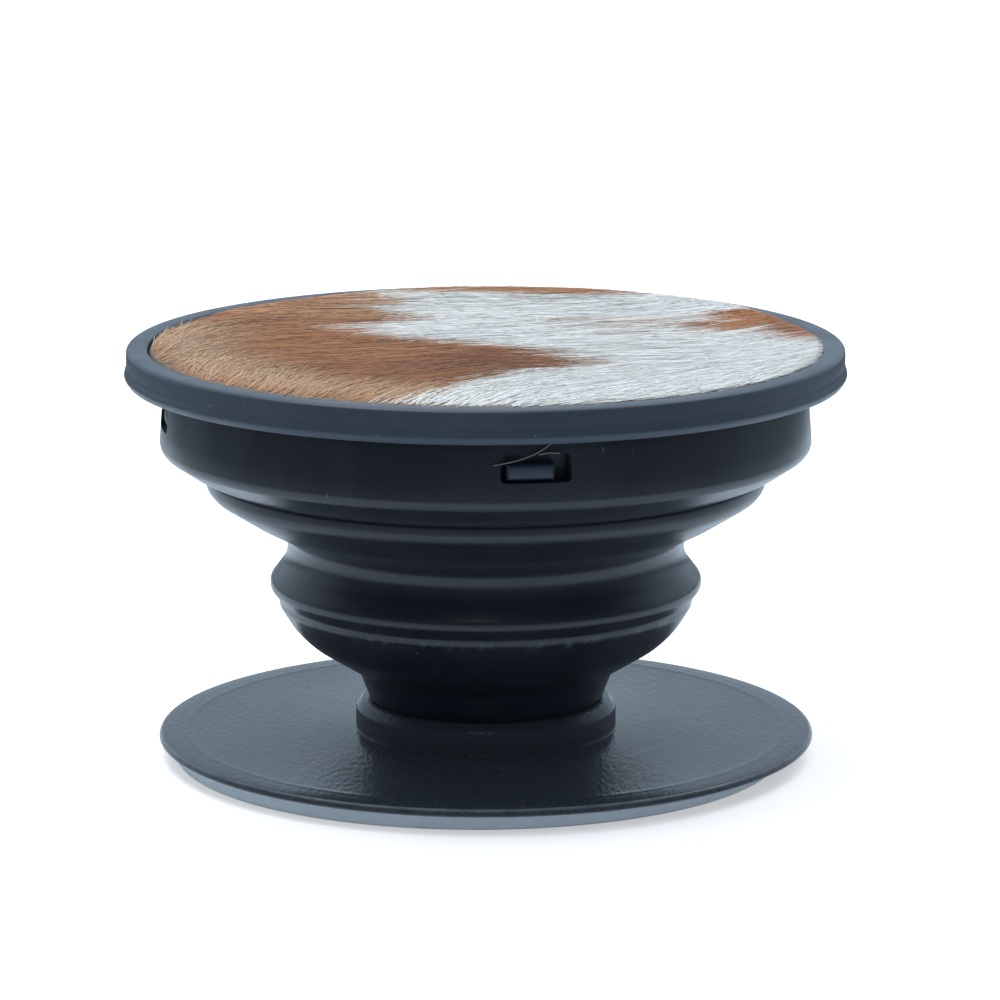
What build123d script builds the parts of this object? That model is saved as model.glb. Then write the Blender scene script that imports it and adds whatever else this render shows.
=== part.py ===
"""Collapsible phone grip, standing extended on its adhesive pad. Millimetres, +Z up along the grip's own axis."""

from build123d import *
import os

# The collar's radius drives those of the base plate, pad, upper bowl and rim.
collar_radius = 18.0

# Adhesive pad, stuck on a little off centre.
pad_inset = 1.3
pad_thickness = 0.85
pad_shift = 0.4

# Base plate: a thin disc that slopes off towards its edge, with a boss that the accordion turns on.
plate_overhang = 0.5
plate_thickness = 0.65
plate_slope_width = 1.6
plate_slope_drop = 0.16
plate_edge_bevel = 0.1
boss_radius = 7.4
boss_height = 1.75
boss_draft = 0.15
boss_bevel_width = 0.35
boss_bevel_drop = 0.6

# Split snap post on the boss, which holds the accordion's foot down.
post_radius = 4.5
post_wall = 1.2
lip_overhang = 0.7
lip_height = 0.6
slit_width = 0.8
slit_count = 4

# Accordion, from the foot up: radii of the outer surface, and the height of each stretch of it.
wall = 0.9
hinge = 0.6
foot_radius = 6.6
foot_flare = 0.45
foot_height = 1.5
foot_flange = 0.95
lower_bowl_height = 3.95
lower_bowl_knee_inset = 1.1
lower_bowl_knee_height = 2.15
lower_bowl_round = 4.8
mid_ring_radius = 11.65
mid_ring_wall_height = 0.35
mid_ring_lip_reach = 0.5
mid_ring_lip_rise = 0.65
mid_ring_lip_face = 0.45
mid_ring_top_inset = 0.55
mid_ring_height = 2.83
neck_flare = 0.15
neck_height = 1.15
fold_height = 2.17
upper_bowl_inset = 2.3
upper_bowl_taper = 2.5
upper_bowl_wall_height = 0.83
upper_bowl_height = 3.85
upper_bowl_round = 1.15
crease_depth = 0.45
crease_height = 0.25
shoulder_width = 1.44
shoulder_drop = 0.95
collar_flare = 0.28
collar_wall = 1.05
collar_floor = 0.4
collar_height = 3.9
collar_bevel = 0.25

# Windows through the collar, and the hooks that snap into them.
window_count = 4
window_turn = 8.6
window_width = 3.85
window_height = 1.58
window_sill = 1.52
window_round = 0.3
hook_turn = -0.82
hook_width = 2.6
hook_height = 0.9
hook_rise = 0.07
hook_reach = 0.9
hook_bevel = 0.2
tongue_margin = 1.3
tongue_slit = 0.6

# Top plate: rim, recess for the hide, and the skirt that carries the hooks.
rim_overhang = 2.08
rim_height = 1.85
rim_width = 1.2
rim_bevel = 0.25
rim_lip_reach = 0.15
rim_lip_height = 0.6
rim_undercut_reach = 0.45
rim_undercut_height = 0.23
recess_depth = 0.95
skirt_wall = 0.75
skirt_height = 2.7

# Hide, glued into the recess.
hide_thickness = 0.9
hide_bevel = 0.2

# Fits between the pieces.
turn_clearance = 0.06
turn_gap = 0.05
seat_gap = 0.05
skirt_clearance = 0.1
hide_clearance = 0.1

# Heights of the main faces above the pad's lower face.
plate_top = pad_thickness + plate_thickness
boss_top = plate_top + boss_height
foot_bottom = boss_top + turn_gap
flange_top = foot_bottom + foot_flange
lower_bowl_bottom = foot_bottom + foot_height
mid_ring_bottom = lower_bowl_bottom + lower_bowl_height
mid_ring_top = mid_ring_bottom + mid_ring_height
upper_bowl_bottom = mid_ring_top + fold_height
collar_bottom = upper_bowl_bottom + upper_bowl_height
collar_top = collar_bottom + collar_height
window_bottom = collar_bottom + window_sill
top_underside = collar_top + seat_gap
rim_top = top_underside + rim_height
recess_floor = rim_top - recess_depth

# Radii that follow from the collar and the fits.
plate_radius = collar_radius + plate_overhang
pad_radius = plate_radius - pad_inset
upper_bowl_radius = collar_radius - upper_bowl_inset
rim_radius = collar_radius + rim_overhang
boss_top_radius = boss_radius - boss_draft
foot_bore_radius = post_radius + turn_clearance
collar_bore_radius = collar_radius - collar_wall
collar_bottom_radius = collar_radius + collar_flare
skirt_radius = collar_bore_radius - skirt_clearance
recess_radius = rim_radius - rim_width
first_window = window_turn - 90


def turned(outline):
    """Solid turned about the grip's axis from an outline of (radius, height) points."""
    return revolve(Plane.XZ * make_face(outline), Axis.Z)


def inset(before, corner, after, depth):
    """Corner of the line that runs at an even depth to the left of before, corner, after."""
    first = (Vector(corner) - Vector(before)).normalized().rotate(Axis.Z, 90)
    second = (Vector(after) - Vector(corner)).normalized().rotate(Axis.Z, 90)
    moved = Vector(corner) + (first + second) * (depth / (1 + first.dot(second)))
    return moved.X, moved.Y


def around(shape, count, start):
    """Copies of a shape that points along +X, spaced evenly about the axis from a start angle in degrees."""
    return [Rot(0, 0, start + 360 * turn / count) * shape for turn in range(count)]


def bar(inner, outer, width, bottom, top):
    """Bar that points along +X, from an inner to an outer radius."""
    block = Box(outer - inner, width, top - bottom, align=(Align.MIN, Align.CENTER, Align.MIN))
    return Pos(inner, 0, bottom) * block


def make_adhesive_pad():
    pad = Cylinder(pad_radius, pad_thickness, align=(Align.CENTER, Align.CENTER, Align.MIN))
    return Pos(-pad_shift, 0, 0) * pad


def make_base_plate():
    bore_radius = post_radius - post_wall
    lip_radius = post_radius + lip_overhang
    lip_bottom = flange_top + turn_gap
    lip_top = lip_bottom + lip_height
    base = turned(Polyline(
        (0, pad_thickness),
        (plate_radius - plate_edge_bevel, pad_thickness),
        (plate_radius, pad_thickness + plate_edge_bevel),
        (plate_radius, plate_top - plate_slope_drop),
        (plate_radius - plate_slope_width, plate_top),
        (boss_radius, plate_top),
        (boss_top_radius, boss_top - boss_bevel_drop),
        (boss_top_radius - boss_bevel_width, boss_top),
        (post_radius, boss_top),
        (post_radius, lip_bottom),
        (lip_radius, lip_bottom),
        (post_radius, lip_top),
        (bore_radius, lip_top),
        (bore_radius, plate_top),
        (0, plate_top),
        close=True,
    ))
    slit = bar(0, lip_radius + slit_width, slit_width, boss_top, lip_top + slit_width)
    return base - around(slit, slit_count, 0)


def accordion_outline():
    # Outside, from the foot up to the collar.
    foot = (foot_radius, foot_bottom)
    bowl_start = (foot_radius + foot_flare, lower_bowl_bottom)
    bowl_knee = (mid_ring_radius - lower_bowl_knee_inset, lower_bowl_bottom + lower_bowl_knee_height)
    ring_bottom = (mid_ring_radius, mid_ring_bottom)
    ring_step = (mid_ring_radius, mid_ring_bottom + mid_ring_wall_height)
    lip_low = (mid_ring_radius + mid_ring_lip_reach, ring_step[1] + mid_ring_lip_rise)
    lip_high = (lip_low[0], lip_low[1] + mid_ring_lip_face)
    ring_top = (mid_ring_radius - mid_ring_top_inset, mid_ring_top)
    neck_top = (ring_top[0] + neck_flare, mid_ring_top + neck_height)
    cup_edge = (upper_bowl_radius - upper_bowl_taper, upper_bowl_bottom)
    collar_edge = (collar_bottom_radius - collar_bevel, collar_bottom)
    shoulder_end = (collar_edge[0] - shoulder_width, collar_bottom - shoulder_drop)
    crease = (upper_bowl_radius - crease_depth, shoulder_end[1] - crease_height)
    cup_top = (upper_bowl_radius, crease[1] - crease_height)
    cup_knee = (upper_bowl_radius, cup_top[1] - upper_bowl_wall_height)
    outside = [
        ((foot_bore_radius, foot_bottom), 0),
        (foot, 0),
        (bowl_start, 0),
        (bowl_knee, lower_bowl_round),
        (ring_bottom, 0),
        (ring_step, 0),
        (lip_low, 0),
        (lip_high, 0),
        (ring_top, 0),
        (neck_top, 0),
        (cup_edge, 0),
        (cup_knee, upper_bowl_round),
        (cup_top, 0),
        (crease, 0),
        (shoulder_end, 0),
        (collar_edge, 0),
        ((collar_bottom_radius, collar_bottom + collar_bevel), 0),
        ((collar_radius, collar_top), 0),
    ]
    # Inside, from the collar down to the foot's flange.
    inside = [
        ((collar_bore_radius, collar_top), 0),
        ((collar_bore_radius, collar_bottom + collar_floor), 0),
        ((crease[0] - hinge, crease[1] + hinge), 0),
        (inset(cup_edge, cup_knee, cup_top, wall), 0),
        (inset(neck_top, cup_edge, cup_knee, wall), 0),
        ((neck_top[0] - hinge, neck_top[1] + hinge), 0),
        ((neck_top[0] - hinge, neck_top[1] - hinge), 0),
        (inset(lip_high, ring_top, neck_top, wall), 0),
        (inset(bowl_start, bowl_knee, ring_bottom, wall), 0),
        (inset(foot, bowl_start, bowl_knee, wall), 0),
        ((foot_radius - wall, flange_top), 0),
        ((foot_bore_radius, flange_top), 0),
    ]
    corners = outside + inside
    roundings = [rounding for point, rounding in corners]
    return FilletPolyline([point for point, rounding in corners], radius=roundings, close=True)


def make_accordion():
    opening = bar(
        collar_bore_radius - collar_wall / 2,
        collar_bottom_radius + collar_wall,
        window_width,
        window_bottom,
        window_bottom + window_height,
    )
    window = fillet(opening.edges().filter_by(Axis.X), window_round)
    return turned(accordion_outline()) - around(window, window_count, first_window)


def make_top_plate():
    skirt_inner_radius = skirt_radius - skirt_wall
    skirt_bottom = top_underside - skirt_height
    lip_radius = rim_radius + rim_lip_reach
    lip_bottom = top_underside + rim_undercut_height
    plate = turned(Polyline(
        (0, top_underside),
        (skirt_inner_radius, top_underside),
        (skirt_inner_radius, skirt_bottom),
        (skirt_radius, skirt_bottom),
        (skirt_radius, top_underside),
        (rim_radius - rim_undercut_reach, top_underside),
        (lip_radius, lip_bottom),
        (rim_radius, lip_bottom + rim_lip_height),
        (rim_radius, rim_top - rim_bevel),
        (rim_radius - rim_bevel, rim_top),
        (recess_radius, rim_top),
        (recess_radius, recess_floor),
        (0, recess_floor),
        close=True,
    ))
    # Slits beside each hook leave it on a tongue that can spring inwards.
    first_hook = first_window + hook_turn
    slit = bar(
        skirt_inner_radius - skirt_wall,
        skirt_radius + skirt_wall,
        tongue_slit,
        skirt_bottom - tongue_slit,
        top_underside,
    )
    slit_shift = hook_width / 2 + tongue_margin
    for shift in (-slit_shift, slit_shift):
        plate -= around(Pos(0, shift, 0) * slit, window_count, first_hook)
    hook_bottom = window_bottom + hook_rise
    hook_root = skirt_radius - skirt_wall / 2
    block = bar(hook_root, skirt_radius + hook_reach, hook_width, hook_bottom, hook_bottom + hook_height)
    hook = chamfer(block.faces().sort_by(Axis.X)[-1].edges(), hook_bevel)
    return plate + around(hook, window_count, first_hook)


def make_hide_inlay():
    hide_radius = recess_radius - hide_clearance
    hide_top = recess_floor + hide_thickness
    return turned(Polyline(
        (0, recess_floor),
        (hide_radius, recess_floor),
        (hide_radius, hide_top - hide_bevel),
        (hide_radius - hide_bevel, hide_top),
        (0, hide_top),
        close=True,
    ))


def main():
    os.makedirs("parts", exist_ok=True)
    pieces = {
        "adhesive_pad": make_adhesive_pad(),
        "base_plate": make_base_plate(),
        "accordion": make_accordion(),
        "top_plate": make_top_plate(),
        "hide_inlay": make_hide_inlay(),
    }
    for name, piece in pieces.items():
        export_step(piece, f"parts/{name}.step")


main()
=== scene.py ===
import math
import random

import bmesh
import bpy
from mathutils import Matrix, Vector, noise


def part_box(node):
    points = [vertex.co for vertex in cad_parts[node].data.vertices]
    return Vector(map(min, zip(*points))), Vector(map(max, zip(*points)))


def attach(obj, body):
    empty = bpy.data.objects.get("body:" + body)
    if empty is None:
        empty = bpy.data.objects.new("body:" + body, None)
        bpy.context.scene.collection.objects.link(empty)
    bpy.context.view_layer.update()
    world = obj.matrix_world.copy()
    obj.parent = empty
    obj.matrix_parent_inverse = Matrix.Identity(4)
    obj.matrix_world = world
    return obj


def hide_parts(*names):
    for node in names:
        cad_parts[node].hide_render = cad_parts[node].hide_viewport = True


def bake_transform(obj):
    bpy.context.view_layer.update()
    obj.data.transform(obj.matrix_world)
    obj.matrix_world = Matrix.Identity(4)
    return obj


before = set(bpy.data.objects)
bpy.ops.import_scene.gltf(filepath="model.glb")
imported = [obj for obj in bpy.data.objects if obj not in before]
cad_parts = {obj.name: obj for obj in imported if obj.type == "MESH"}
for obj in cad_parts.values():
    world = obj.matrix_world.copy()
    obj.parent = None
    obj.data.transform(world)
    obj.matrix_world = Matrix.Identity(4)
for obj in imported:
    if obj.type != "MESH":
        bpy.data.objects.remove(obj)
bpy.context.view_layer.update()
mm = 0.001  # lengths in the dictionaries are in millimetres


def span(node):
    low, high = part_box(node)
    return low / mm, high / mm


padLow, padHigh = span("adhesive_pad")
plateLow = span("base_plate")[0]
stemLow = span("accordion")[0]
headHigh = span("top_plate")[1]
hideLow, hideHigh = span("hide_inlay")


# Turned shapes
# An outline is a list of corners: radius, height above the piece's own datum, length cut off by its rounding

turning = {
    "ringSteps": 360,  # segments of a whole turn
    "arcSteps": 4,  # fewest segments of an arc
    "roundSteps": 4,  # segments of a rounding
    "largeRoundSteps": 8,
    "largeRound": 0.5,  # roundings longer than this count as large
    "weld": 1e-7,  # in metres
}


def addMesh(target, bm):
    part = bpy.data.meshes.new("part")
    bm.to_mesh(part)
    bm.free()
    target.from_mesh(part)
    bpy.data.meshes.remove(part)


def turn(target, corners, datum, closed=False, start=0, sweep=360):
    bm = bmesh.new()
    verts = [bm.verts.new((radius * mm, 0, (datum + height) * mm)) for radius, height, rounding in corners]
    for first, second in zip(verts, verts[1:] + verts[:1] if closed else verts[1:]):
        bm.edges.new((first, second))
    for vert, (radius, height, rounding) in zip(verts, corners):
        if rounding:
            roundSteps = turning["largeRoundSteps" if rounding > turning["largeRound"] else "roundSteps"]
            bmesh.ops.bevel(bm, geom=[vert], affect="VERTICES", offset=rounding * mm, segments=roundSteps,
                            profile=0.5, material=-1)
    whole = sweep == 360
    steps = turning["ringSteps"]
    if not whole:
        steps = max(turning["arcSteps"], round(steps * sweep / 360))
    bmesh.ops.spin(bm, geom=bm.verts[:] + bm.edges[:], axis=(0, 0, 1), cent=(0, 0, 0),
                   angle=math.radians(sweep), steps=steps, use_merge=whole)
    if not whole:
        bmesh.ops.holes_fill(bm, edges=bm.edges[:])  # ends of an arc
    bmesh.ops.remove_doubles(bm, verts=bm.verts[:], dist=turning["weld"])
    bmesh.ops.rotate(bm, verts=bm.verts[:], cent=(0, 0, 0), matrix=Matrix.Rotation(math.radians(start), 3, "Z"))
    bmesh.ops.recalc_face_normals(bm, faces=bm.faces[:])
    addMesh(target, bm)


def makePiece(name, bm, material, sharp=32):
    mesh = bpy.data.meshes.new(name)
    bm.to_mesh(mesh)
    bm.free()
    mesh.shade_smooth()
    mesh.set_sharp_from_angle(angle=math.radians(sharp))
    mesh.materials.append(material)
    piece = bpy.data.objects.new(name, mesh)
    bpy.context.scene.collection.objects.link(piece)
    return piece


# Part of an outline between two heights, with new corners where it is cut
def cutOutline(corners, low, high):
    found = []
    for (r0, h0, q0), (r1, h1, q1) in zip(corners, corners[1:]):
        if low <= h0 <= high:
            found.append((r0, h0, q0))
        for cut in (low, high):
            if h0 < cut < h1:
                found.append((r0 + (r1 - r0) * (cut - h0) / (h1 - h0), cut, 0))
    if corners[-1][1] <= high:
        found.append(corners[-1])
    return found


# Share from 0 to 1 with soft ends
def smooth(low, high, value):
    place = min(1, max(0, (value - low) / (high - low)))
    return place * place * (3 - 2 * place)


# Plastic

def addNode(tree, kind, place, values=None, **settings):
    node = tree.nodes.new(kind)
    node.location = place
    for name, value in settings.items():
        setattr(node, name, value)
    for socket, value in (values or {}).items():
        node.inputs[socket].default_value = value
    return node


def newGroup(name, inputs, outputs):
    group = bpy.data.node_groups.new(name, "ShaderNodeTree")
    for label, kind, value in inputs:
        socket = group.interface.new_socket(label, in_out="INPUT", socket_type=kind)
        socket.default_value = value
    for label, kind in outputs:
        group.interface.new_socket(label, in_out="OUTPUT", socket_type=kind)
    return group, addNode(group, "NodeGroupInput", (-1200, 0)), addNode(group, "NodeGroupOutput", (700, 0))


# Moulded skin: fine grain, cloudy sheen, and a few specks of lint
skinLook = {
    "cloudScale": 320, "cloudRange": (0.3, 0.75), "haze": 0.02,
    "lintScale": 1100, "lintCore": (0.1, 0.03), "lintRarity": 0.5,
    "reliefDepth": 0.03,
    "sheenRoughness": 0.35, "sheenTint": (0.72, 0.87, 1.0),
}
skinGroup, skinIn, skinOut = newGroup(
    "mouldedSkin",
    [
        ("Colour", "NodeSocketColor", (0.02, 0.02, 0.03, 1)), ("Lint", "NodeSocketColor", (0.3, 0.33, 0.36, 1)),
        ("Lint Amount", "NodeSocketFloat", 0.5), ("Roughness", "NodeSocketFloat", 0.4),
        ("Cloud", "NodeSocketFloat", 0.1), ("Stretch", "NodeSocketVector", (1, 1, 1)),
        ("Grain", "NodeSocketFloat", 5200),
    ],
    [("Colour", "NodeSocketColor"), ("Roughness", "NodeSocketFloat"), ("Height", "NodeSocketFloat")],
)
join = skinGroup.links.new
place = addNode(skinGroup, "ShaderNodeTexCoord", (-1200, 300))
stretched = addNode(skinGroup, "ShaderNodeVectorMath", (-1000, 300), operation="MULTIPLY")
join(place.outputs["Object"], stretched.inputs[0])
join(skinIn.outputs["Stretch"], stretched.inputs[1])
clouds = addNode(skinGroup, "ShaderNodeTexNoise", (-800, 300), {
    "Scale": skinLook["cloudScale"], "Detail": 1.5, "Roughness": 0.5})
join(stretched.outputs[0], clouds.inputs["Vector"])
cloudMask = addNode(skinGroup, "ShaderNodeMapRange", (-600, 300), {
    "From Min": skinLook["cloudRange"][0], "From Max": skinLook["cloudRange"][1]}, interpolation_type="SMOOTHSTEP")
join(clouds.outputs["Fac"], cloudMask.inputs["Value"])
specks = addNode(skinGroup, "ShaderNodeTexVoronoi", (-800, 0), {"Scale": skinLook["lintScale"], "Randomness": 1.0})
join(stretched.outputs[0], specks.inputs["Vector"])
speckCore = addNode(skinGroup, "ShaderNodeMapRange", (-600, 0), {
    "From Min": skinLook["lintCore"][0], "From Max": skinLook["lintCore"][1]})
join(specks.outputs["Distance"], speckCore.inputs["Value"])
speckPick = addNode(skinGroup, "ShaderNodeSeparateColor", (-600, -180))
join(specks.outputs["Color"], speckPick.inputs["Color"])
speckRare = addNode(skinGroup, "ShaderNodeMapRange", (-400, -180), {"From Min": skinLook["lintRarity"], "From Max": 1})
join(speckPick.outputs["Red"], speckRare.inputs["Value"])
speckMask = addNode(skinGroup, "ShaderNodeMath", (-400, 0), operation="MULTIPLY")
join(speckCore.outputs["Result"], speckMask.inputs[0])
join(speckRare.outputs["Result"], speckMask.inputs[1])
haze = addNode(skinGroup, "ShaderNodeMath", (-400, 300), {1: skinLook["haze"]}, operation="MULTIPLY")
join(cloudMask.outputs["Result"], haze.inputs[0])
lintSum = addNode(skinGroup, "ShaderNodeMath", (-200, 100), operation="ADD", use_clamp=True)
join(speckMask.outputs[0], lintSum.inputs[0])
join(haze.outputs[0], lintSum.inputs[1])
lintShare = addNode(skinGroup, "ShaderNodeMath", (0, 100), operation="MULTIPLY")
join(lintSum.outputs[0], lintShare.inputs[0])
join(skinIn.outputs["Lint Amount"], lintShare.inputs[1])
skinColour = addNode(skinGroup, "ShaderNodeMix", (250, 200), data_type="RGBA")
join(lintShare.outputs[0], skinColour.inputs["Factor"])
join(skinIn.outputs["Colour"], skinColour.inputs[6])
join(skinIn.outputs["Lint"], skinColour.inputs[7])
join(skinColour.outputs[2], skinOut.inputs["Colour"])
roughSpread = addNode(skinGroup, "ShaderNodeMath", (0, -150), operation="MULTIPLY")
join(cloudMask.outputs["Result"], roughSpread.inputs[0])
join(skinIn.outputs["Cloud"], roughSpread.inputs[1])
roughSum = addNode(skinGroup, "ShaderNodeMath", (250, -100), operation="ADD", use_clamp=True)
join(skinIn.outputs["Roughness"], roughSum.inputs[0])
join(roughSpread.outputs[0], roughSum.inputs[1])
join(roughSum.outputs[0], skinOut.inputs["Roughness"])
grain = addNode(skinGroup, "ShaderNodeTexNoise", (0, -400), {"Detail": 2})
join(skinIn.outputs["Grain"], grain.inputs["Scale"])
join(stretched.outputs[0], grain.inputs["Vector"])
join(grain.outputs["Fac"], skinOut.inputs["Height"])


def plasticMaterial(name, finish):
    material = bpy.data.materials.new(name)
    material.use_nodes = True
    tree = material.node_tree
    shader = tree.nodes["Principled BSDF"]
    skin = addNode(tree, "ShaderNodeGroup", (-500, 200), node_tree=skinGroup)
    skin.inputs["Colour"].default_value = (*finish["colour"], 1)
    skin.inputs["Lint"].default_value = (*finish["lint"], 1)
    skin.inputs["Lint Amount"].default_value = finish["lintAmount"]
    skin.inputs["Roughness"].default_value = finish["roughness"]
    skin.inputs["Cloud"].default_value = finish["cloud"]
    skin.inputs["Stretch"].default_value = finish["stretch"]
    skin.inputs["Grain"].default_value = finish["grain"]
    relief = addNode(tree, "ShaderNodeBump", (-250, -150), {
        "Strength": finish["bump"], "Distance": skinLook["reliefDepth"] * mm})
    tree.links.new(skin.outputs["Height"], relief.inputs["Height"])
    tree.links.new(skin.outputs["Colour"], shader.inputs["Base Color"])
    tree.links.new(skin.outputs["Roughness"], shader.inputs["Roughness"])
    tree.links.new(relief.outputs["Normal"], shader.inputs["Normal"])
    shader.inputs["Specular IOR Level"].default_value = finish["specular"]
    shader.inputs["Sheen Weight"].default_value = finish["sheen"]
    shader.inputs["Sheen Roughness"].default_value = skinLook["sheenRoughness"]
    shader.inputs["Sheen Tint"].default_value = (*skinLook["sheenTint"], 1)
    return material, shader, skin


print("stage: moulded skin made")

# Adhesive pad: a slightly clear gel
padShape = {
    "edgeRound": 0.15,
    "clearness": 0.45,
    "refraction": 1.4,
    "finish": {
        "colour": (0.77, 0.81, 0.85), "lint": (0.86, 0.90, 0.93), "lintAmount": 0.6, "roughness": 0.45,
        "cloud": 0.1, "stretch": (1, 1, 1), "grain": 5200, "bump": 0.2, "sheen": 0.0, "specular": 0.5,
    },
}
padGel, shader, skin = plasticMaterial("pad_gel", padShape["finish"])
shader.inputs["Transmission Weight"].default_value = padShape["clearness"]
shader.inputs["IOR"].default_value = padShape["refraction"]
bm = bmesh.new()
padRadius = (padHigh.x - padLow.x) / 2
padThickness = padHigh.z - padLow.z
turn(bm, [(0, 0, 0), (padRadius, 0, padShape["edgeRound"]), (padRadius, padThickness, padShape["edgeRound"]),
          (0, padThickness, 0)], padLow.z)
bmesh.ops.translate(bm, verts=bm.verts[:], vec=((padHigh.x + padLow.x) / 2 * mm, 0, 0))
pad = makePiece("adhesive_pad_gel", bm, padGel)
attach(pad, "base")
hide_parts("adhesive_pad")

# Base plate with its boss and split post
plateShape = {
    "outline": [
        (0, 0, 0), (17.5, 0, 0.1), (18.36, 0.17, 0.1), (18.5, 0.3, 0.04), (18.5, 0.63, 0.27), (17.25, 0.65, 0.08),
        (17.02, 0.668, 0.06), (16.85, 0.668, 0.06), (16.6, 0.65, 0.08), (7.36, 0.65, 0.03), (7.36, 1.9, 0.1),
        (6.95, 2.4, 0.08), (3.3, 2.4, 0), (3.3, 0.65, 0), (0, 0.65, 0),
    ],
    "finger": [(3.3, 2.35, 0), (4.5, 2.35, 0), (4.5, 3.45, 0), (5.2, 3.45, 0), (4.5, 4.05, 0), (3.3, 4.05, 0)],
    "fingerCount": 4,
    "fingerSweep": 78,  # degrees of each finger of the split post
    "finish": {
        "colour": (0.025, 0.0295, 0.039), "lint": (0.30, 0.35, 0.39), "lintAmount": 0.2, "roughness": 0.2,
        "cloud": 0.04, "stretch": (1, 0.33, 1), "grain": 4300, "bump": 0.95, "sheen": 0.03, "specular": 0.215,
    },
    "paleColour": (0.36, 0.42, 0.46),  # of the speckle, the scratch and the worn line with its painted highlight
    "speckle": {"scale": 4200, "range": (0.4, 0.75), "amount": 0.07},
    "scratch": {"start": (7.1, -8.1), "turn": 50.2, "length": 5.4, "width": 0.09, "amount": 0.35},
    "worn": {"radius": 18.38, "halfWidth": 0.12, "patchScale": 900, "amount": 0.6},  # paler line near the edge: a painted highlight on the edge's rounding, broken up in patches of wear
    "boss": {"heights": (0.85, 0.72), "pale": 0.012, "rough": 0.3},  # without the speckle, duller, and paler by painted light that lifts the shade under the head
    "bossEdge": {"heights": (1.78, 1.9), "rough": -0.28},  # smooth again
}
basePlastic, shader, skin = plasticMaterial("base_plastic", plateShape["finish"])
tree = basePlastic.node_tree
place = addNode(tree, "ShaderNodeTexCoord", (-1500, 500))
plateAxes = addNode(tree, "ShaderNodeSeparateXYZ", (-1250, 950))
tree.links.new(place.outputs["Object"], plateAxes.inputs[0])


# Mask that goes from 0 to its largest value between two heights above the plate's underside
def heightMask(heights, largest, at):
    low, high = heights
    mask = addNode(tree, "ShaderNodeMapRange", at, {
        "From Min": (plateLow.z + low) * mm, "From Max": (plateLow.z + high) * mm, "To Max": largest})
    tree.links.new(plateAxes.outputs["Z"], mask.inputs["Value"])
    return mask


flatMask = heightMask(plateShape["boss"]["heights"], 1, (-1000, 950))
look = plateShape["speckle"]
speckle = addNode(tree, "ShaderNodeTexNoise", (-1250, 700), {"Scale": look["scale"], "Detail": 3, "Roughness": 0.7})
tree.links.new(place.outputs["Object"], speckle.inputs["Vector"])
speckleMask = addNode(tree, "ShaderNodeMapRange", (-1000, 700), {
    "From Min": look["range"][0], "From Max": look["range"][1], "To Max": look["amount"]})
tree.links.new(speckle.outputs["Fac"], speckleMask.inputs["Value"])
speckleShare = addNode(tree, "ShaderNodeMath", (-750, 800), operation="MULTIPLY")
tree.links.new(speckleMask.outputs["Result"], speckleShare.inputs[0])
tree.links.new(flatMask.outputs["Result"], speckleShare.inputs[1])

look = plateShape["scratch"]
alongScratch = addNode(tree, "ShaderNodeMapping", (-1250, 400), vector_type="TEXTURE")
alongScratch.inputs["Location"].default_value = (look["start"][0] * mm, look["start"][1] * mm, 0)
alongScratch.inputs["Rotation"].default_value = (0, 0, math.radians(look["turn"]))
tree.links.new(place.outputs["Object"], alongScratch.inputs["Vector"])
scratchAxes = addNode(tree, "ShaderNodeSeparateXYZ", (-1050, 400))
tree.links.new(alongScratch.outputs[0], scratchAxes.inputs[0])
across = addNode(tree, "ShaderNodeMath", (-850, 300), operation="ABSOLUTE")
tree.links.new(scratchAxes.outputs["Y"], across.inputs[0])
acrossMask = addNode(tree, "ShaderNodeMapRange", (-650, 300), {"From Min": look["width"] * mm, "From Max": 0})
tree.links.new(across.outputs[0], acrossMask.inputs["Value"])
halfLength = look["length"] / 2 * mm
alongMask = addNode(tree, "ShaderNodeMath", (-850, 500), {1: halfLength, 2: halfLength}, operation="COMPARE")
tree.links.new(scratchAxes.outputs["X"], alongMask.inputs[0])
scratchMask = addNode(tree, "ShaderNodeMath", (-450, 450), operation="MULTIPLY")
tree.links.new(acrossMask.outputs["Result"], scratchMask.inputs[0])
tree.links.new(alongMask.outputs[0], scratchMask.inputs[1])
scratchShare = addNode(tree, "ShaderNodeMath", (-300, 450), {1: look["amount"]}, operation="MULTIPLY")
tree.links.new(scratchMask.outputs[0], scratchShare.inputs[0])

# Paler line on the edge's rounding: a painted highlight, broken up in patches of wear
look = plateShape["worn"]
plateFlat = addNode(tree, "ShaderNodeVectorMath", (-1250, 1150), {1: (1, 1, 0)}, operation="MULTIPLY")
tree.links.new(place.outputs["Object"], plateFlat.inputs[0])
plateRadius = addNode(tree, "ShaderNodeVectorMath", (-1050, 1150), operation="LENGTH")
tree.links.new(plateFlat.outputs["Vector"], plateRadius.inputs[0])
fromHighlightAndWear = addNode(tree, "ShaderNodeMath", (-850, 1150), {1: look["radius"] * mm}, operation="SUBTRACT")
tree.links.new(plateRadius.outputs["Value"], fromHighlightAndWear.inputs[0])
highlightAndWearGap = addNode(tree, "ShaderNodeMath", (-650, 1150), operation="ABSOLUTE")
tree.links.new(fromHighlightAndWear.outputs[0], highlightAndWearGap.inputs[0])
highlightAndWearLine = addNode(tree, "ShaderNodeMapRange", (-450, 1150), {
    "From Min": look["halfWidth"] * mm, "From Max": 0, "To Max": look["amount"]})
tree.links.new(highlightAndWearGap.outputs[0], highlightAndWearLine.inputs["Value"])
highlightAndWearPatch = addNode(tree, "ShaderNodeTexNoise", (-650, 950), {"Scale": look["patchScale"], "Detail": 3})
tree.links.new(place.outputs["Object"], highlightAndWearPatch.inputs["Vector"])
highlightAndWearShare = addNode(tree, "ShaderNodeMath", (-250, 1050), operation="MULTIPLY")
tree.links.new(highlightAndWearLine.outputs["Result"], highlightAndWearShare.inputs[0])
tree.links.new(highlightAndWearPatch.outputs["Fac"], highlightAndWearShare.inputs[1])

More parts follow.
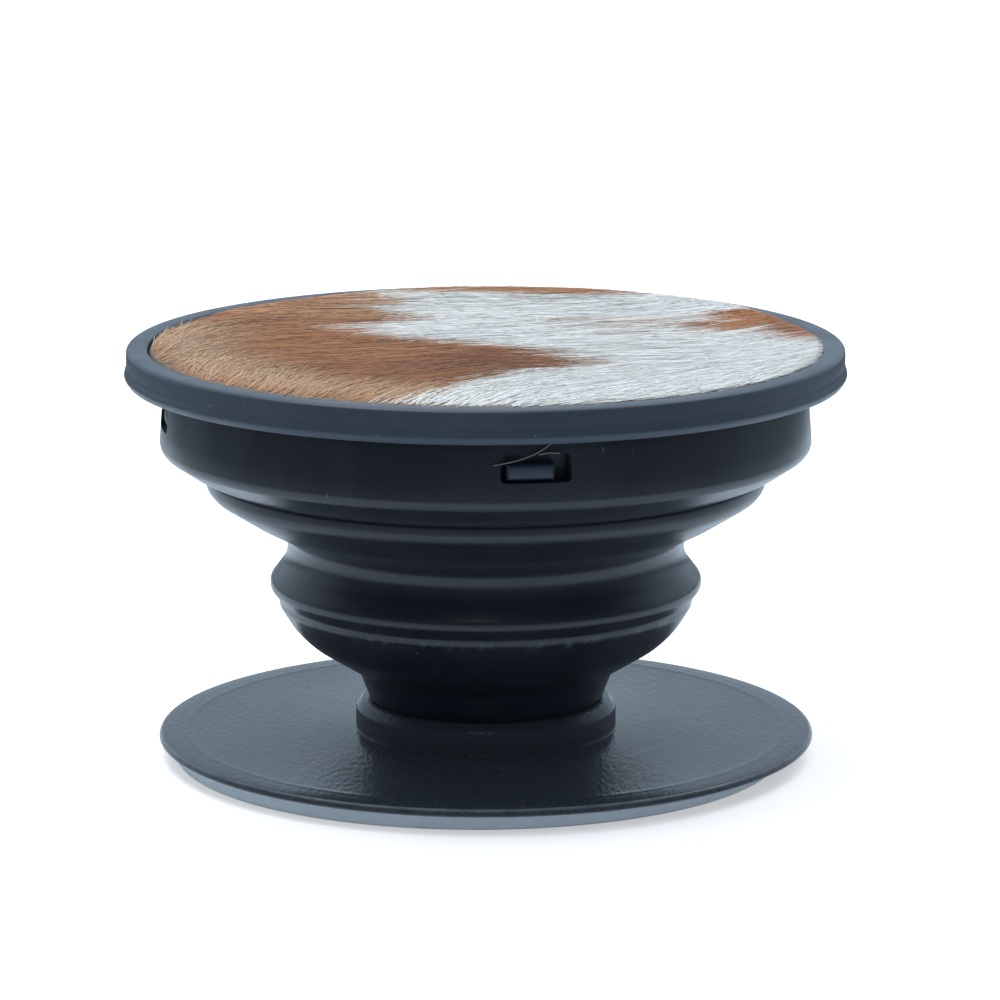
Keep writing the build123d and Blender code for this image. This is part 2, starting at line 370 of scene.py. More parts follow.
# All that is pale on the plate, added up
look = plateShape["boss"]
# Painted light: the boss is made paler to lift the shade it lies in under the head
bossPaintedLight = addNode(tree, "ShaderNodeMapRange", (-450, 850), {"From Min": 1, "From Max": 0, "To Max": look["pale"]})
tree.links.new(flatMask.outputs["Result"], bossPaintedLight.inputs["Value"])
paleSum = speckleShare.outputs[0]
for index, share in enumerate((highlightAndWearShare.outputs[0], bossPaintedLight.outputs["Result"], scratchShare.outputs[0])):
    adding = addNode(tree, "ShaderNodeMath", (-150, 500 + 150 * index), operation="ADD", use_clamp=True)
    tree.links.new(paleSum, adding.inputs[0])
    tree.links.new(share, adding.inputs[1])
    paleSum = adding.outputs[0]
plateColour = addNode(tree, "ShaderNodeMix", (0, 400), {7: (*plateShape["paleColour"], 1)}, data_type="RGBA")
tree.links.new(paleSum, plateColour.inputs["Factor"])
tree.links.new(skin.outputs["Colour"], plateColour.inputs[6])
tree.links.new(plateColour.outputs[2], shader.inputs["Base Color"])
bossRough = addNode(tree, "ShaderNodeMapRange", (-250, 0), {"From Min": 1, "From Max": 0, "To Max": look["rough"]})
tree.links.new(flatMask.outputs["Result"], bossRough.inputs["Value"])
look = plateShape["bossEdge"]
edgeRough = heightMask(look["heights"], look["rough"], (-250, -300))
wallRough = addNode(tree, "ShaderNodeMath", (-150, -50), operation="ADD")
tree.links.new(bossRough.outputs["Result"], wallRough.inputs[0])
tree.links.new(edgeRough.outputs["Result"], wallRough.inputs[1])
plateRough = addNode(tree, "ShaderNodeMath", (-50, 50), operation="ADD", use_clamp=True)
tree.links.new(skin.outputs["Roughness"], plateRough.inputs[0])
tree.links.new(wallRough.outputs[0], plateRough.inputs[1])
tree.links.new(plateRough.outputs[0], shader.inputs["Roughness"])

bm = bmesh.new()
turn(bm, plateShape["outline"], plateLow.z)
for index in range(plateShape["fingerCount"]):
    middle = 360 / plateShape["fingerCount"] * (index + 0.5)
    turn(bm, plateShape["finger"], plateLow.z, closed=True, start=middle - plateShape["fingerSweep"] / 2,
         sweep=plateShape["fingerSweep"])
plate = makePiece("base_plate_disc", bm, basePlastic, sharp=24)
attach(plate, "base")
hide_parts("base_plate")
print("stage: base made")

# Folding stem, made in bands: a band that keeps its height when folded goes with the stem
stemShape = {
    "outside": [
        (4.56, 0, 0), (6.6, 0, 0.03), (7.2, 1.58, 0.12), (10.55, 3.65, 1.15), (11.65, 5.45, 0.12),
        (11.65, 5.8, 0.12), (12.15, 6.45, 0.14), (12.15, 6.9, 0.16), (11.1, 8.28, 0.55), (11.25, 9.43, 0.4),
        (13.2, 10.45, 0.3), (15.7, 12.02, 0.63), (15.7, 12.87, 0.06), (15.6, 12.98, 0.06), (16.59, 13.33, 0.4),
        (18.03, 14.3, 0),
    ],
    "inside": [
        (4.56, 0.95, 0), (5.7, 0.95, 0), (6.29, 2.09, 0), (9.9, 4.3, 0), (10.16, 8.03, 0), (10.65, 8.83, 0),
        (10.65, 10.03, 0), (12.75, 11.23, 0), (14.8, 12.52, 0), (14.65, 13.7, 0), (16.03, 14.3, 0),
    ],
    # bands: name, height of the upper end above the foot, and that end's height when folded
    "bands": [
        ("stem_foot", 1.2, 1.2), ("stem_lower_bowl", 5.1, -0.55), ("stem_mid_ring", 7.8, 1.5),
        ("stem_neck", 8.95, 2.0), ("stem_upper_bowl", 12.5, -0.6), ("stem_shoulder", 14.3, -1.4),
    ],
    "finish": {
        "colour": (0.0135, 0.0155, 0.0235), "lint": (0.16, 0.19, 0.22), "lintAmount": 0.6, "roughness": 0.285,
        "cloud": 0.08, "stretch": (1, 1, 0.3), "grain": 5200, "bump": 0.08, "sheen": 0.02, "specular": 0.42,
    },
    # scuffed line under the mid ring
    "worn": {"height": 5.4, "width": 0.35, "scale": 1400, "range": (0.5, 0.7), "colour": (0.10, 0.118, 0.145)},
}
worn = stemShape["worn"]
softPlastic, shader, skin = plasticMaterial("soft_plastic", stemShape["finish"])
tree = softPlastic.node_tree
place = addNode(tree, "ShaderNodeTexCoord", (-1100, 500))
scuffs = addNode(tree, "ShaderNodeTexNoise", (-900, 500), {"Scale": worn["scale"], "Detail": 4, "Roughness": 0.7})
tree.links.new(place.outputs["Object"], scuffs.inputs["Vector"])
scuffMask = addNode(tree, "ShaderNodeMapRange", (-700, 500), {
    "From Min": worn["range"][0], "From Max": worn["range"][1]})
tree.links.new(scuffs.outputs["Fac"], scuffMask.inputs["Value"])
wear = addNode(tree, "ShaderNodeAttribute", (-900, 750), attribute_name="wear")
scuffShare = addNode(tree, "ShaderNodeMath", (-500, 600), operation="MULTIPLY")
tree.links.new(scuffMask.outputs["Result"], scuffShare.inputs[0])
tree.links.new(wear.outputs["Fac"], scuffShare.inputs[1])
scuffColour = addNode(tree, "ShaderNodeMix", (-200, 450), {7: (*worn["colour"], 1)}, data_type="RGBA")
tree.links.new(scuffShare.outputs[0], scuffColour.inputs["Factor"])
tree.links.new(skin.outputs["Colour"], scuffColour.inputs[6])
tree.links.new(scuffColour.outputs[2], shader.inputs["Base Color"])

bandLow, foldedLow = 0, 0
for name, bandHigh, foldedHigh in stemShape["bands"]:
    bm = bmesh.new()
    outside = cutOutline(stemShape["outside"], bandLow, bandHigh)
    inside = cutOutline(stemShape["inside"], bandLow, bandHigh)
    turn(bm, outside + inside[::-1], stemLow.z, closed=True)
    wearLayer = bm.verts.layers.float.new("wear")
    for vert in bm.verts:
        height = vert.co.z / mm - stemLow.z
        vert[wearLayer] = max(0, 1 - abs(height - worn["height"]) / worn["width"])
    band = makePiece(name, bm, softPlastic)
    if foldedHigh == bandHigh:
        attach(band, "stem")
    else:
        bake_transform(band)
    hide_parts("accordion")
    bandLow, foldedLow = bandHigh, foldedHigh

# Collar with its windows, of the same soft plastic
collarShape = {
    "outline": [
        (18.03, 14.3, 0), (18.28, 14.6, 0.24), (18.19, 15.82, 0), (18.07, 17.4, 0), (18.0, 18.2, 0.14),
        (16.95, 18.2, 0), (16.95, 17.4, 0), (16.95, 15.82, 0), (16.95, 14.7, 0), (16.03, 14.3, 0),
    ],
    "windowCount": 4,
    "windowTurn": -81.4,  # degrees to the middle of the window beside the front
    "windowSteps": 12,  # ring segments in a window's width
    "windowLow": 15.82,
    "windowHigh": 17.4,
    "windowRound": 0.3,
    "fold": (6, 14),  # heights that a blend would run between; the whole collar lies above them
}
bm = bmesh.new()
turn(bm, collarShape["outline"], stemLow.z, closed=True)
windowLow = (stemLow.z + collarShape["windowLow"]) * mm
windowHigh = (stemLow.z + collarShape["windowHigh"]) * mm
windowSweep = 360 / turning["ringSteps"] * collarShape["windowSteps"]
windowPitch = 360 / collarShape["windowCount"]
borderSlack = 0.01  # degrees that a window's border may lie outside it
heightSlack = 1e-6


# Number of the window that a point lies in
def windowOf(point, slack=0.0):
    if not windowLow - heightSlack < point.z < windowHigh + heightSlack:
        return None
    angle = math.degrees(math.atan2(point.y, point.x)) % 360
    index, within = divmod(angle + slack, windowPitch)
    return int(index) % collarShape["windowCount"] if within < windowSweep + 2 * slack else None


def windowOfEdge(edge):
    return windowOf((edge.verts[0].co + edge.verts[1].co) / 2, borderSlack)


cutFaces = [face for face in bm.faces if windowOf(face.calc_center_median()) is not None
            and abs(face.normal.z) < 0.5]
bmesh.ops.delete(bm, geom=cutFaces, context="FACES")
for index in range(collarShape["windowCount"]):
    border = [edge for edge in bm.edges if edge.is_boundary and windowOfEdge(edge) == index]
    bmesh.ops.bridge_loops(bm, edges=border)
bmesh.ops.recalc_face_normals(bm, faces=bm.faces[:])


# Edge through the wall
def isRadial(edge):
    first, second = (Vector((vert.co.x, vert.co.y)).length for vert in edge.verts)
    return abs(first - second) > 0.5 * mm


# Edge between two faces that meet at about a right angle
def atCorner(edge):
    directions = [face.normal for face in edge.link_faces]
    return len(directions) == 2 and abs(directions[0].dot(directions[1])) < 0.3


corners = [edge for edge in bm.edges if isRadial(edge) and atCorner(edge) and windowOfEdge(edge) is not None]
bmesh.ops.bevel(bm, geom=corners, affect="EDGES", offset=collarShape["windowRound"] * mm, segments=4,
                profile=0.5, material=-1)
bmesh.ops.rotate(bm, verts=bm.verts[:], cent=(0, 0, 0),
                 matrix=Matrix.Rotation(math.radians(collarShape["windowTurn"] - windowSweep / 2), 3, "Z"))
print("stage: window corners rounded", len(corners))
collar = makePiece("stem_collar", bm, softPlastic)
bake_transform(collar)
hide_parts("accordion")
print("stage: stem made")

# Top plate with its skirt of tongues and hooks
headShape = {
    "height": 1.85,
    "outline": [
        (0, 0, 0), (19.98, 0, 0.08), (20.23, 0.36, 0.14), (20.08, 0.83, 0.16), (20.08, 1.85, 0.25),
        (18.88, 1.85, 0.14), (18.88, 0.9, 0.06), (0, 0.9, 0),
    ],
    "skirt": [(16.1, -2.7, 0), (16.85, -2.7, 0.1), (16.85, 0.1, 0), (16.1, 0.1, 0)],
    "hookTurn": -82.22,  # degrees to the middle of the hook beside the front
    "tongueSweep": 16.1,
    "slitSweep": 2.1,
    "hookSize": (1.5, 2.6, 0.9),
    "hookPlace": (17.2, -1.91),  # radius and height of its middle
    "hookRound": 0.26,
    "finish": {
        "colour": (0.042, 0.056, 0.078), "lint": (0.26, 0.30, 0.34), "lintAmount": 0.5, "roughness": 0.38,
        "cloud": 0.1, "stretch": (1, 1, 1), "grain": 5200, "bump": 0.08, "sheen": 0.02, "specular": 0.35,
    },
}
rimPlastic = plasticMaterial("rim_plastic", headShape["finish"])[0]
headUnderside = headHigh.z - headShape["height"]
bm = bmesh.new()
turn(bm, headShape["outline"], headUnderside)
for index in range(collarShape["windowCount"]):
    middle = headShape["hookTurn"] + windowPitch * index
    tongue, slit = headShape["tongueSweep"], headShape["slitSweep"]
    turn(bm, headShape["skirt"], headUnderside, closed=True, start=middle - tongue / 2, sweep=tongue)
    turn(bm, headShape["skirt"], headUnderside, closed=True, start=middle + tongue / 2 + slit,
         sweep=windowPitch - tongue - 2 * slit)
    hook = bmesh.new()
    made = bmesh.ops.create_cube(hook, size=mm)
    bmesh.ops.scale(hook, verts=made["verts"], vec=headShape["hookSize"])
    outer = [edge for edge in hook.edges if all(vert.co.x > 0 for vert in edge.verts)]
    bmesh.ops.bevel(hook, geom=outer, affect="EDGES", offset=headShape["hookRound"] * mm, segments=3, profile=0.5,
                    material=-1)
    radius, height = headShape["hookPlace"]
    bmesh.ops.translate(hook, verts=hook.verts[:], vec=(radius * mm, 0, (headUnderside + height) * mm))
    bmesh.ops.rotate(hook, verts=hook.verts[:], cent=(0, 0, 0),
                     matrix=Matrix.Rotation(math.radians(middle), 3, "Z"))
    addMesh(bm, hook)
head = makePiece("top_plate_rim", bm, rimPlastic)
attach(head, "head")
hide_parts("top_plate")

# Bare hide below the hair: tan with a darker grain
hideShape = {
    "outline": [(0, 0, 0), (18.78, 0, 0), (18.78, 0.9, 0.25), (0, 0.9, 0)],
    "dark": (0.10, 0.08, 0.06),
    "light": (0.22, 0.18, 0.14),
    "poreScale": 1500,
    "poreDepth": 0.05,
    "bump": 0.4,
    "roughness": 0.7,
}
hideSkin = bpy.data.materials.new("hide_skin")
hideSkin.use_nodes = True
tree = hideSkin.node_tree
shader = tree.nodes["Principled BSDF"]
place = addNode(tree, "ShaderNodeTexCoord", (-900, 200))
pores = addNode(tree, "ShaderNodeTexNoise", (-700, 200), {"Scale": hideShape["poreScale"], "Detail": 4})
tree.links.new(place.outputs["Object"], pores.inputs["Vector"])
hideTone = addNode(tree, "ShaderNodeMix", (-400, 200), {6: (*hideShape["dark"], 1), 7: (*hideShape["light"], 1)},
                   data_type="RGBA")
tree.links.new(pores.outputs["Fac"], hideTone.inputs["Factor"])
tree.links.new(hideTone.outputs[2], shader.inputs["Base Color"])
shader.inputs["Roughness"].default_value = hideShape["roughness"]
relief = addNode(tree, "ShaderNodeBump", (-300, -150), {
    "Strength": hideShape["bump"], "Distance": hideShape["poreDepth"] * mm})
tree.links.new(pores.outputs["Fac"], relief.inputs["Height"])
tree.links.new(relief.outputs["Normal"], shader.inputs["Normal"])
bm = bmesh.new()
turn(bm, hideShape["outline"], hideLow.z)
hide = makePiece("hide_leather", bm, hideSkin)
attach(hide, "head")
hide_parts("hide_inlay")
print("stage: head made")

# Hair
hairShape = {
    "seed": 41,
    "strands": 50000,
    "length": (2.4, 6.0),
    "shortest": 0.5,  # a strand that the edge cuts shorter is left out
    "width": (0.035, 0.07),
    "taper": 0.97,
    "bow": 0.05,  # rise of a strand between its ends
    "pitch": (0.1, 1.4),  # degrees that a strand stands up from the hide
    "pitchLength": 4,  # longer strands lie flatter
    "roll": 9,
    "scatter": 7,  # degrees, of the strands' directions
    "overhang": 0.6,  # of the strands at the back, over the rim
    "lift": 0.12,  # of the strands at the back
    "bend": 0.1,  # sideways, as a share of the length
    "margin": 0.1,  # bare edge between the strands' roots and the hide's edge
    "sink": 0.04,  # of the deepest roots
    "rootSpread": 0.08,
    "segments": 3,
    "lie": {"all": 8, "front": 28, "right": 38, "frontLeft": 72, "wander": 12},  # degrees from +X towards +Y
    "seenAt": 0.6,  # share of the length at which a strand takes the pattern's colour
    "edgeWander": 2.0,
    "edgeScatter": 0.7,
    # right-hand edge of the brown field: distance behind the hide's middle, distance to its right
    "brownEdge": [
        (-18.8, -6.2), (-15.7, -3.4), (-11.9, -1.2), (-8.1, 3.4), (-5.5, 6.0), (-4.0, 5.2), (-1.4, 1.6),
        (0.2, -1.4), (1.8, -4.4), (3.2, -6.2), (4.6, -7.2), (5.6, -7.6), (6.8, -6.4), (8.0, -4.8), (9.2, -3.9),
        (10.5, -5.4), (11.9, -7.3), (13.0, -6.4), (14.3, -5.0), (16.0, -4.9), (18.8, -5.4),
    ],
    "brownSpots": [  # place of the middle, half width and half depth, strength
        ((16.6, 8.6), (3.6, 3.0), 6), ((18.4, 4.0), (2.4, 3.0), 5), ((13.6, 6.0), (2.6, 1.3), 3),
        ((11.2, 6.6), (2.0, 0.7), 0.4), ((4.2, 19.2), (6.4, 3.2), 6), ((-2.4, 19.0), (4.8, 2.2), 3),
    ],
    "darkPlace": {"middle": (0.5, -6.5), "size": (6, 4.5), "amount": 0.42},  # darkest in the brown tongue
    "brown": {"dark": (0.20, 0.052, 0.0115), "light": (0.56, 0.225, 0.072), "tip": (0.64, 0.50, 0.33), "tipShare": 0.6},
    "white": {"dark": (0.75, 0.765, 0.745), "light": (0.85, 0.865, 0.845), "tip": (0.85, 0.86, 0.83), "tipShare": 0.5},
    "roughness": 0.45,
    "specular": 0.15,
}


# The tone attribute runs from 0 to 1 over the strands, and the tip attribute along each
def hairMaterial(name, colours):
    material = bpy.data.materials.new(name)
    material.use_nodes = True
    tree = material.node_tree
    shader = tree.nodes["Principled BSDF"]
    tone = addNode(tree, "ShaderNodeAttribute", (-900, 200), attribute_name="tone")
    tip = addNode(tree, "ShaderNodeAttribute", (-900, -50), attribute_name="tip")
    toned = addNode(tree, "ShaderNodeMix", (-600, 200), {6: (*colours["dark"], 1), 7: (*colours["light"], 1)},
                    data_type="RGBA")
    tree.links.new(tone.outputs["Fac"], toned.inputs["Factor"])
    tipMask = addNode(tree, "ShaderNodeMath", (-600, -50), {1: colours["tipShare"]}, operation="MULTIPLY")
    tree.links.new(tip.outputs["Fac"], tipMask.inputs[0])
    tipped = addNode(tree, "ShaderNodeMix", (-300, 150), {7: (*colours["tip"], 1)}, data_type="RGBA")
    tree.links.new(tipMask.outputs[0], tipped.inputs["Factor"])
    tree.links.new(toned.outputs[2], tipped.inputs[6])
    tree.links.new(tipped.outputs[2], shader.inputs["Base Color"])
    shader.inputs["Roughness"].default_value = hairShape["roughness"]
    shader.inputs["Specular IOR Level"].default_value = hairShape["specular"]
    return material


# How far a place on the hide lies inside the brown fields, in millimetres
def brownDepth(x, y):
    depth = -9  # white
    edge = hairShape["brownEdge"]
    for (y0, x0), (y1, x1) in zip(edge, edge[1:]):
        if y0 <= y <= y1:
            depth = x0 + (x1 - x0) * (y - y0) / (y1 - y0) - x
    for (atX, atY), (halfX, halfY), strength in hairShape["brownSpots"]:
        depth = max(depth, strength * (1 - math.hypot((x - atX) / halfX, (y - atY) / halfY)))
    return depth


# Direction in which the hair lies
def hairTurn(x, y, frontLeft):
    lie = hairShape["lie"]
    angle = lie["all"] + lie["front"] * smooth(-4, -15, y) + lie["right"] * smooth(6, 17, x)
    wander = lie["wander"] * noise.noise(Vector((x / 5, y / 5, 0.3)))
    return angle * (1 - frontLeft) + lie["frontLeft"] * frontLeft + wander


# Darkness of a strand by its place: patches, a painted sheen that makes it paler towards the back, and the dark place
def hairTone(x, y, seenX, seenY):
    dark = hairShape["darkPlace"]
    (atX, atY), (sizeX, sizeY) = dark["middle"], dark["size"]
    patch = 0.5 + 0.6 * noise.noise(Vector((x / 5, y / 3, 5.1))) + 0.4 * noise.noise(Vector((x / 1.6, y / 1.1, 7.9)))
    deep = math.exp(-((seenX - atX) / sizeX) ** 2 - ((seenY - atY) / sizeY) ** 2)
    # the smooth step in y is the painted sheen at the back
    return 0.5 * patch + 0.2 * smooth(0, 10, y) - dark["amount"] * deep


strandForm = bmesh.new()
bmesh.ops.create_grid(strandForm, x_segments=hairShape["segments"], y_segments=1, size=0.5)
for vert in strandForm.verts:
    along = vert.co.x + 0.5
    vert.co = (along, vert.co.y * math.sqrt(1 - hairShape["taper"] * along ** 2), 0)
strand = bpy.data.meshes.new("strand")
strandForm.to_mesh(strand)
strandForm.free()
toneLayer = strand.attributes.new("tone", "FLOAT", "POINT")
tipLayer = strand.attributes.new("tip", "FLOAT", "POINT")
rest = [vert.co.copy() for vert in strand.vertices]
chance = random.Random(hairShape["seed"])
hideRadius = hideHigh.x
furs = {
    "hide_hair_brown": (bmesh.new(), hairMaterial("brown_hair", hairShape["brown"])),
    "hide_hair_white": (bmesh.new(), hairMaterial("white_hair", hairShape["white"])),
}
for index in range(hairShape["strands"]):
    radius = (hideRadius - hairShape["margin"]) * math.sqrt(chance.random())
    away = chance.uniform(0, 360)
    x, y = radius * math.cos(math.radians(away)), radius * math.sin(math.radians(away))
    frontLeft = smooth(14, 18, radius) * smooth(150, 174, away) * smooth(285, 258, away)
    turnAngle = math.radians(hairTurn(x, y, frontLeft) + chance.gauss(0, hairShape["scatter"]))
    ahead = Vector((math.cos(turnAngle), math.sin(turnAngle)))
    reachRadius = hideRadius - 0.05 + hairShape["overhang"] * smooth(5, 13, y)
    toEdge = -ahead.dot((x, y)) + math.sqrt(max(0, ahead.dot((x, y)) ** 2 + reachRadius ** 2 - radius ** 2))
    length = min(chance.uniform(*hairShape["length"]), toEdge)
    if length < hairShape["shortest"]:
        continue
    seen = hairShape["seenAt"] * length
    seenX, seenY = x + seen * ahead.x, y + seen * ahead.y
    ragged = hairShape["edgeWander"] * noise.noise(Vector((x / 4, y / 1.2, 2.7)))
    depth = brownDepth(seenX, seenY) + ragged + chance.gauss(0, hairShape["edgeScatter"])
    fur = furs["hide_hair_brown" if depth > 0 else "hide_hair_white"][0]
    tone = min(1, max(0, hairTone(x, y, seenX, seenY) + 0.5 * chance.random()))
    # Paler tips: real pale strands at the front-left edge, and a painted sheen at the back-left
    pale = max(frontLeft, 0.4 * smooth(3, 11, y) * smooth(4, -5, x))
    toneLayer.data.foreach_set("value", [tone] * len(rest))
    tipLayer.data.foreach_set("value", [0.25 * co.x + pale * (0.3 + 0.9 * co.x) for co in rest])
    bend = hairShape["bend"] * chance.uniform(-1, 1) * length
    rise = hairShape["bow"] * chance.uniform(0.3, 1.2)
    width = chance.uniform(*hairShape["width"])
    points = []
    for co in rest:
        points += [co.x * length, co.y * width + bend * co.x ** 2, rise * math.sin(math.pi * min(1, co.x * 1.1))]
    strand.vertices.foreach_set("co", points)
    pitch = math.radians(chance.uniform(*hairShape["pitch"])) * min(1, hairShape["pitchLength"] / length)
    roll = math.radians(chance.uniform(-hairShape["roll"], hairShape["roll"]))
    lift = hairShape["lift"] * smooth(4, 14, y) * smooth(13, 17, radius)
    rootHeight = hideHigh.z - hairShape["sink"] + chance.uniform(0, hairShape["rootSpread"]) + lift
    strand.transform(
        Matrix.Scale(mm, 4) @ Matrix.Translation((x, y, rootHeight))
        @ Matrix.Rotation(turnAngle, 4, "Z") @ Matrix.Rotation(-pitch, 4, "Y") @ Matrix.Rotation(roll, 4, "X"))
    fur.from_mesh(strand)
for name, (fur, material) in furs.items():
    print("stage:", name, len(fur.faces), "faces")
    hair = makePiece(name, fur, material, sharp=80)
    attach(hair, "head")

# Two stray hairs on the collar
strayShape = {
    "thickness": 0.045,
    "radius": 18.2,
    "paths": [  # sideways place and height above the head's underside
        [(0.42, -1.43), (1.1, -1.3), (1.85, -1.13), (2.8, -0.75), (3.71, -0.16)],
        [(2.85, -0.87), (3.4, -0.80), (3.93, -0.83)],
    ],
    "colours": {"dark": (0.18, 0.155, 0.15), "light": (0.28, 0.25, 0.24), "tip": (0.28, 0.25, 0.24), "tipShare": 0.5},
}
strayCurve = bpy.data.curves.new("stray_hairs", "CURVE")
strayCurve.dimensions = "3D"
strayCurve.bevel_depth = strayShape["thickness"] * mm
strayCurve.bevel_resolution = 1
strayCurve.resolution_u = 6
for path in strayShape["paths"]:
    spline = strayCurve.splines.new("BEZIER")
    spline.bezier_points.add(len(path) - 1)
    for knot, (across, height) in zip(spline.bezier_points, path):
        radius = strayShape["radius"]
        knot.co = Vector((across, -math.sqrt(radius ** 2 - across ** 2), headUnderside + height)) * mm
        knot.handle_left_type = knot.handle_right_type = "AUTO"
strayLine = bpy.data.objects.new("strayLine", strayCurve)
bpy.context.scene.collection.objects.link(strayLine)
strayMesh = bpy.data.meshes.new_from_object(strayLine.evaluated_get(bpy.context.evaluated_depsgraph_get()))
bpy.data.objects.remove(strayLine)
bm = bmesh.new()
bm.from_mesh(strayMesh)
stray = makePiece("stray_hairs", bm, hairMaterial("stray_hair", strayShape["colours"]), sharp=80)
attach(stray, "head")
print("stage: hair made")

# Floor: white to the camera; to reflections a pale sheet round the object; grey to the light it bounces
floorLook = {
    "size": 3000,
    "matte": 0.9,
    "glow": 0.45,
    "bounceColour": (0.66, 0.70, 0.74),
    "sheetMiddle": (0, 20),
    "sheetRadius": (88, 122),  # between these it fades out
    "sheetStrength": (0.96, 0.05),
    "sheetColour": (0.78, 0.90, 1.0),
}
floorMaterial = bpy.data.materials.new("pale_floor")
floorMaterial.use_nodes = True
tree = floorMaterial.node_tree
tree.nodes.clear()
floorOut = addNode(tree, "ShaderNodeOutputMaterial", (1200, 0))
place = addNode(tree, "ShaderNodeTexCoord", (-900, 0))
fromMiddle = addNode(tree, "ShaderNodeVectorMath", (-700, 0), operation="DISTANCE")
fromMiddle.inputs[1].default_value = (floorLook["sheetMiddle"][0] * mm, floorLook["sheetMiddle"][1] * mm, 0)
tree.links.new(place.outputs["Object"], fromMiddle.inputs[0])
sheet = addNode(tree, "ShaderNodeMapRange", (-500, 0), {
    "From Min": floorLook["sheetRadius"][0] * mm, "From Max": floorLook["sheetRadius"][1] * mm,
    "To Min": floorLook["sheetStrength"][0], "To Max": floorLook["sheetStrength"][1],
}, interpolation_type="SMOOTHSTEP")
tree.links.new(fromMiddle.outputs["Value"], sheet.inputs["Value"])
rays = addNode(tree, "ShaderNodeLightPath", (-500, 400))
sheetTint = addNode(tree, "ShaderNodeVectorMath", (-250, 0), {0: floorLook["sheetColour"]}, operation="SCALE")
tree.links.new(sheet.outputs["Result"], sheetTint.inputs["Scale"])
shown = addNode(tree, "ShaderNodeMix", (-50, 150), {7: (1, 1, 1, 1)}, data_type="RGBA")
tree.links.new(rays.outputs["Is Camera Ray"], shown.inputs["Factor"])
tree.links.new(sheetTint.outputs["Vector"], shown.inputs[6])
floorShade = addNode(tree, "ShaderNodeVectorMath", (150, 200), {"Scale": floorLook["matte"]}, operation="SCALE")
tree.links.new(shown.outputs[2], floorShade.inputs[0])
floorMatte = addNode(tree, "ShaderNodeBsdfDiffuse", (250, 200))
tree.links.new(floorShade.outputs["Vector"], floorMatte.inputs["Color"])
floorGlow = addNode(tree, "ShaderNodeEmission", (250, 0), {"Strength": floorLook["glow"]})
tree.links.new(shown.outputs[2], floorGlow.inputs["Color"])
floorSeen = addNode(tree, "ShaderNodeAddShader", (500, 100))
tree.links.new(floorMatte.outputs[0], floorSeen.inputs[0])
tree.links.new(floorGlow.outputs[0], floorSeen.inputs[1])
floorBounce = addNode(tree, "ShaderNodeBsdfDiffuse", (500, -150), {"Color": (*floorLook["bounceColour"], 1)})
mirrored = addNode(tree, "ShaderNodeMath", (250, 450), operation="ADD", use_clamp=True)
tree.links.new(rays.outputs["Is Camera Ray"], mirrored.inputs[0])
tree.links.new(rays.outputs["Is Glossy Ray"], mirrored.inputs[1])
seenRays = addNode(tree, "ShaderNodeMath", (500, 450), operation="ADD", use_clamp=True)
tree.links.new(mirrored.outputs[0], seenRays.inputs[0])
tree.links.new(rays.outputs["Is Transmission Ray"], seenRays.inputs[1])
floorChoice = addNode(tree, "ShaderNodeMixShader", (900, 0))
tree.links.new(seenRays.outputs[0], floorChoice.inputs["Fac"])
tree.links.new(floorBounce.outputs[0], floorChoice.inputs[1])
tree.links.new(floorSeen.outputs[0], floorChoice.inputs[2])
tree.links.new(floorChoice.outputs[0], floorOut.inputs["Surface"])
bm = bmesh.new()
bmesh.ops.create_circle(bm, cap_ends=True, segments=64, radius=floorLook["size"] / 2 * mm)
floor = makePiece("floor", bm, floorMaterial)

# World: pale blue light that is weaker from the viewer's side, white to the camera
skyLook = {
    "colour": (0.74, 0.87, 1.0),
    "strength": 0.8,
    "front": 0.45,  # light from the viewer's side, as a share of that from behind
    "range": (-0.9, 0.1),  # from front to back, between which it grows
}
backdropLook = {"colour": (0.66, 0.84, 1.0), "strength": 0.95, "front": 0.1, "range": (-0.2, 0.5)}  # in reflections
world = bpy.data.worlds.new("studio")
bpy.context.scene.world = world
world.use_nodes = True
tree = world.node_tree
tree.nodes.clear()
worldOut = addNode(tree, "ShaderNodeOutputWorld", (900, 0))
direction = addNode(tree, "ShaderNodeTexCoord", (-800, 0))
axes = addNode(tree, "ShaderNodeSeparateXYZ", (-600, 0))
tree.links.new(direction.outputs["Generated"], axes.inputs[0])
rays = addNode(tree, "ShaderNodeLightPath", (-600, 400))
mirrored = addNode(tree, "ShaderNodeMath", (-400, 300), operation="ADD", use_clamp=True)
tree.links.new(rays.outputs["Is Glossy Ray"], mirrored.inputs[0])
tree.links.new(rays.outputs["Is Transmission Ray"], mirrored.inputs[1])
strength = addNode(tree, "ShaderNodeMix", (0, 100), data_type="FLOAT")
tree.links.new(mirrored.outputs[0], strength.inputs["Factor"])
for socket, look in ((2, skyLook), (3, backdropLook)):
    level = addNode(tree, "ShaderNodeMapRange", (-400, 650 - 300 * socket), {
        "From Min": look["range"][0], "From Max": look["range"][1],
        "To Min": look["front"] * look["strength"], "To Max": look["strength"],
    }, interpolation_type="SMOOTHSTEP")
    tree.links.new(axes.outputs["Y"], level.inputs["Value"])
    tree.links.new(level.outputs["Result"], strength.inputs[socket])
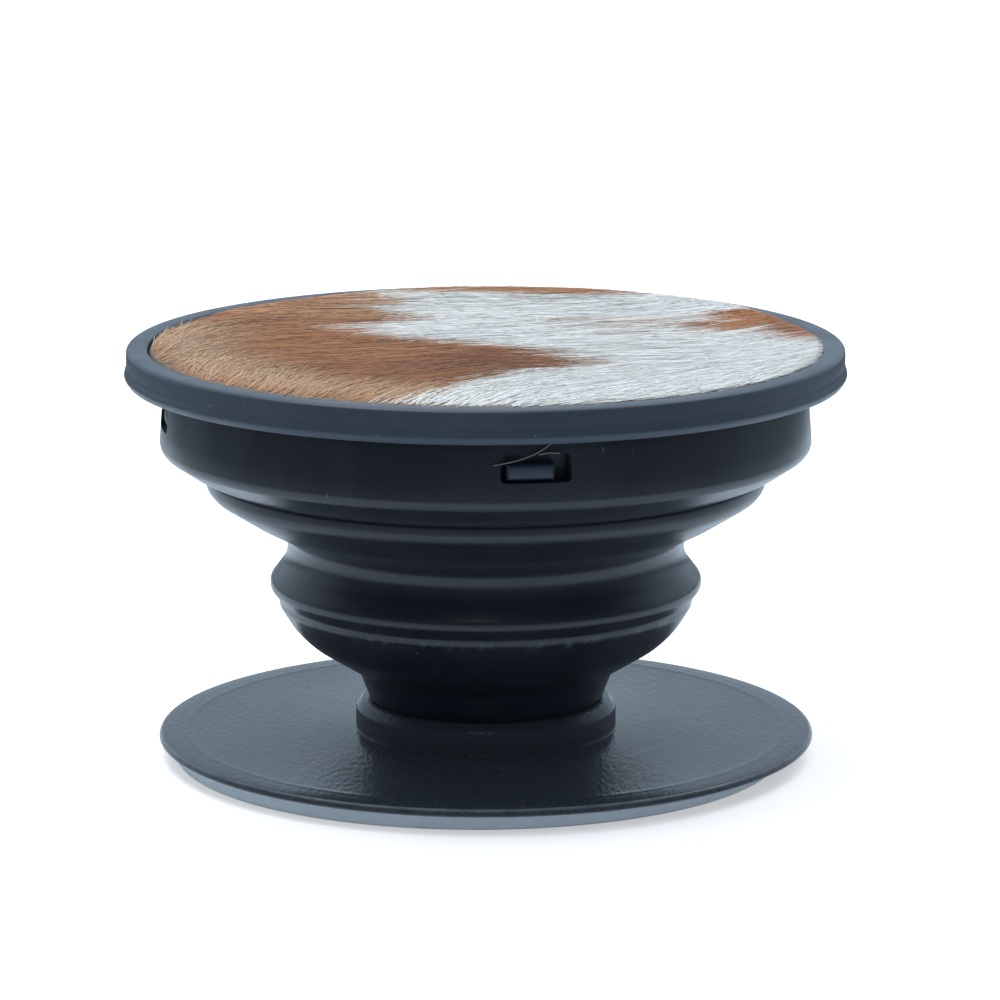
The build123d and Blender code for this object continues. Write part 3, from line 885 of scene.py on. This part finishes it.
tint = addNode(tree, "ShaderNodeMix", (0, -100), {6: (*skyLook["colour"], 1), 7: (*backdropLook["colour"], 1)},
               data_type="RGBA")
tree.links.new(mirrored.outputs[0], tint.inputs["Factor"])
sky = addNode(tree, "ShaderNodeBackground", (250, -100))
tree.links.new(tint.outputs[2], sky.inputs["Color"])
tree.links.new(strength.outputs[0], sky.inputs["Strength"])
seen = addNode(tree, "ShaderNodeBackground", (250, 100), {"Color": (1, 1, 1, 1), "Strength": 1})
choice = addNode(tree, "ShaderNodeMixShader", (600, 0))
tree.links.new(rays.outputs["Is Camera Ray"], choice.inputs["Fac"])
tree.links.new(sky.outputs[0], choice.inputs[1])
tree.links.new(seen.outputs[0], choice.inputs[2])
tree.links.new(choice.outputs[0], worldOut.inputs["Surface"])

softboxes = {  # place, width, power in watts
    "softbox1": ((-90, 40, 360), 260, 0.76),
    "softbox2": ((150, 120, 300), 200, 0.3),
    "softbox3": ((-18, -250, 300), 60, 0.07),
}
for name, (place, width, power) in softboxes.items():
    box = bpy.data.lights.new(name, "AREA")
    box.shape = "DISK"
    box.size = width * mm
    box.energy = power
    lamp = bpy.data.objects.new(name, box)
    lamp.location = Vector(place) * mm
    lamp.rotation_euler = (-Vector(place)).to_track_quat("-Z", "Y").to_euler()
    bpy.context.scene.collection.objects.link(lamp)

photoCamera = {"place": (0.80, -282.0, 73.16), "pitch": 11.751, "lens": 184.3, "sensor": 36, "clip": (10, 10000)}
camera = bpy.data.cameras.new("photoCamera")
camera.sensor_width = photoCamera["sensor"]
camera.lens = photoCamera["lens"]
camera.clip_start, camera.clip_end = (distance * mm for distance in photoCamera["clip"])
cameraObject = bpy.data.objects.new("photoCamera", camera)
cameraObject.location = Vector(photoCamera["place"]) * mm
cameraObject.rotation_euler = (math.radians(90 - photoCamera["pitch"]), 0, 0)
bpy.context.scene.collection.objects.link(cameraObject)
bpy.context.scene.camera = cameraObject
bpy.context.scene.view_settings.view_transform = "Standard"
print("stage: studio made")
